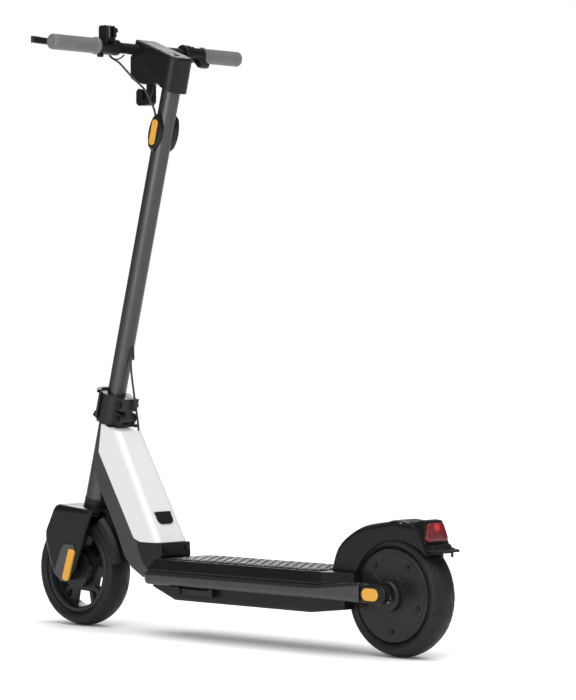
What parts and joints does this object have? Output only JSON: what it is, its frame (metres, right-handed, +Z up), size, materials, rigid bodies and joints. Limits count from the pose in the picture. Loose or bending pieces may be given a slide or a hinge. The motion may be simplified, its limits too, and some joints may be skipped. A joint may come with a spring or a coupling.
{
  "type": "electric kick scooter",
  "caption": "Folding electric kick scooter: low deck with a ribbed mat, hub motor rear wheel, drum-braked front wheel, raked stem and a straight bar with lever, throttle and bell.",
  "frame": {"origin": "on the ground, midway along the scooter's length and between its sides", "axes": "+X towards the front wheel, +Y to the rider's left, +Z up"},
  "size_m": [1.122, 0.52, 1.2152],
  "materials": {
    "dark_alloy": "satin dark grey metallic paint",
    "black_alloy": "satin black powder coat",
    "cast_alloy": "satin black paint on a casting",
    "black_plastic": "satin moulded plastic",
    "white_plastic": "satin-gloss white moulded plastic",
    "grey_plastic": "satin grey moulded plastic",
    "amber": "moulded prismatic reflector",
    "red_lens": "moulded lamp lens",
    "clear_lens": "clear lamp lens",
    "display": "gloss black window",
    "tyre": "moulded tread rubber",
    "grip_rubber": "soft grey rubber",
    "mat_rubber": "ribbed black rubber",
    "steel": "zinc-plated steel",
    "black_steel": "black oxide steel",
    "bell_metal": "polished",
    "cable_jacket": "extruded jacket",
    "pack_wrap": "shrink wrap"
  },
  "bodies": {
    "frame": {"neck_frame": "dark_alloy", "side_rails": "dark_alloy", "deck_pan": "black_plastic", "deck_cover": "black_plastic", "deck_mat": "mat_rubber", "battery": "pack_wrap", "controller": "cast_alloy", "neck_cover": "white_plastic", "neck_base": "black_plastic", "frame_screws": "black_steel", "charge_socket": "black_plastic", "rear_fender": "black_plastic", "taillight_lens": "red_lens", "arm_bezels": "black_plastic", "arm_reflectors": "amber", "kickstand_bracket": "black_steel", "rear_axle": "steel", "headset_bearings": "steel"},
    "charge_flap": {"charge_flap": "black_plastic"},
    "kickstand": {"kickstand_leg": "black_alloy"},
    "rear_wheel": {"rear_tyre": "tyre", "motor_shell": "cast_alloy", "motor_covers": "cast_alloy", "cover_screws": "black_steel", "rear_bearings": "steel"},
    "steering": {"fork": "black_alloy", "fork_shroud": "black_plastic", "shroud_panels": "grey_plastic", "front_reflectors": "amber", "front_mudguard": "black_plastic", "front_axle": "black_steel", "drum_brake": "cast_alloy", "hinge_base": "black_alloy", "hinge_pins": "black_steel", "lower_cable": "cable_jacket"},
    "front_wheel": {"front_tyre": "tyre", "front_rim": "cast_alloy", "front_bearings": "steel"},
    "brake_arm": {"brake_arm": "black_alloy"},
    "latch_lever": {"latch_lever": "black_alloy"},
    "stem": {"stem_tube": "dark_alloy", "stem_foot": "black_alloy", "clamp_bolt": "black_steel", "reflector_housings": "black_plastic", "stem_reflectors": "amber", "head_housing": "black_plastic", "headlight_housing": "black_plastic", "headlight_lens": "clear_lens", "display_panel": "display", "handlebar": "black_alloy", "grips": "grip_rubber", "brake_perch": "black_plastic", "bell": "bell_metal", "throttle_housing": "black_plastic", "bag_hook": "black_plastic", "brake_cable": "cable_jacket"},
    "brake_lever": {"brake_lever": "black_alloy"},
    "bell_lever": {"bell_lever": "black_plastic"},
    "power_button": {"power_button": "grey_plastic"},
    "throttle_paddle": {"throttle_paddle": "black_plastic"}
  },
  "joints": [
    {"name": "rear_wheel_spin", "type": "hinge", "parent": "frame", "child": "rear_wheel", "pos_m": [-0.427, 0, 0.116], "axis": [0, 1, 0], "continuous": true},
    {"name": "steering_turn", "type": "hinge", "parent": "frame", "child": "steering", "pos_m": [0.445, 0, 0.116], "axis": [-0.2543, 0, 0.9671], "range_deg": [-45, 45], "deforming": ["lower_cable"]},
    {"name": "front_wheel_spin", "type": "hinge", "parent": "steering", "child": "front_wheel", "pos_m": [0.445, 0, 0.116], "axis": [0, 1, 0], "continuous": true},
    {"name": "stem_fold", "type": "hinge", "parent": "steering", "child": "stem", "pos_m": [0.32429, 0, 0.42962], "axis": [0, -1, 0], "range_deg": [0, 85], "deforming": ["lower_cable"]},
    {"name": "latch_open", "type": "hinge", "parent": "steering", "child": "latch_lever", "pos_m": [0.39957, 0, 0.43628], "axis": [0, 1, 0], "range_deg": [0, 75]},
    {"name": "brake_lever_pull", "type": "hinge", "parent": "stem", "child": "brake_lever", "pos_m": [0.28479, 0.1, 1.17418], "axis": [0, 0, 1], "range_deg": [0, 20], "stiffness_Nm_per_rad": 2, "springref_deg": -17.19},
    {"name": "brake_arm_turn", "type": "hinge", "parent": "steering", "child": "brake_arm", "pos_m": [0.429, 0.03, 0.132], "axis": [0, 1, 0], "range_deg": [0, 25]},
    {"name": "bell_flick", "type": "hinge", "parent": "stem", "child": "bell_lever", "pos_m": [0.24079, 0.108, 1.19568], "axis": [0, -1, 0], "range_deg": [0, 25], "stiffness_Nm_per_rad": 0.1, "springref_deg": -11.46},
    {"name": "throttle_push", "type": "hinge", "parent": "stem", "child": "throttle_paddle", "pos_m": [0.25779, -0.14, 1.17418], "axis": [0, -1, 0], "range_deg": [0, 35], "stiffness_Nm_per_rad": 0.5, "springref_deg": -11.46},
    {"name": "power_press", "type": "slide", "parent": "stem", "child": "power_button", "axis": [0.3644, 0, -0.9312], "range_m": [0, 0.0015], "stiffness_N_per_m": 400, "springref_m": -0.001},
    {"name": "charge_flap_open", "type": "hinge", "parent": "frame", "child": "charge_flap", "pos_m": [0.21518, 0, 0.24292], "axis": [0, 1, 0], "range_deg": [0, 110]},
    {"name": "kickstand_swing", "type": "hinge", "parent": "frame", "child": "kickstand", "pos_m": [0.087, 0.075, 0.0975], "axis": [0, -1, 0], "range_deg": [0, 90]}
  ],
  "couplings": [
    {"joint": "brake_arm_turn", "follows": "brake_lever_pull", "ratio": 1.25}
  ]
}
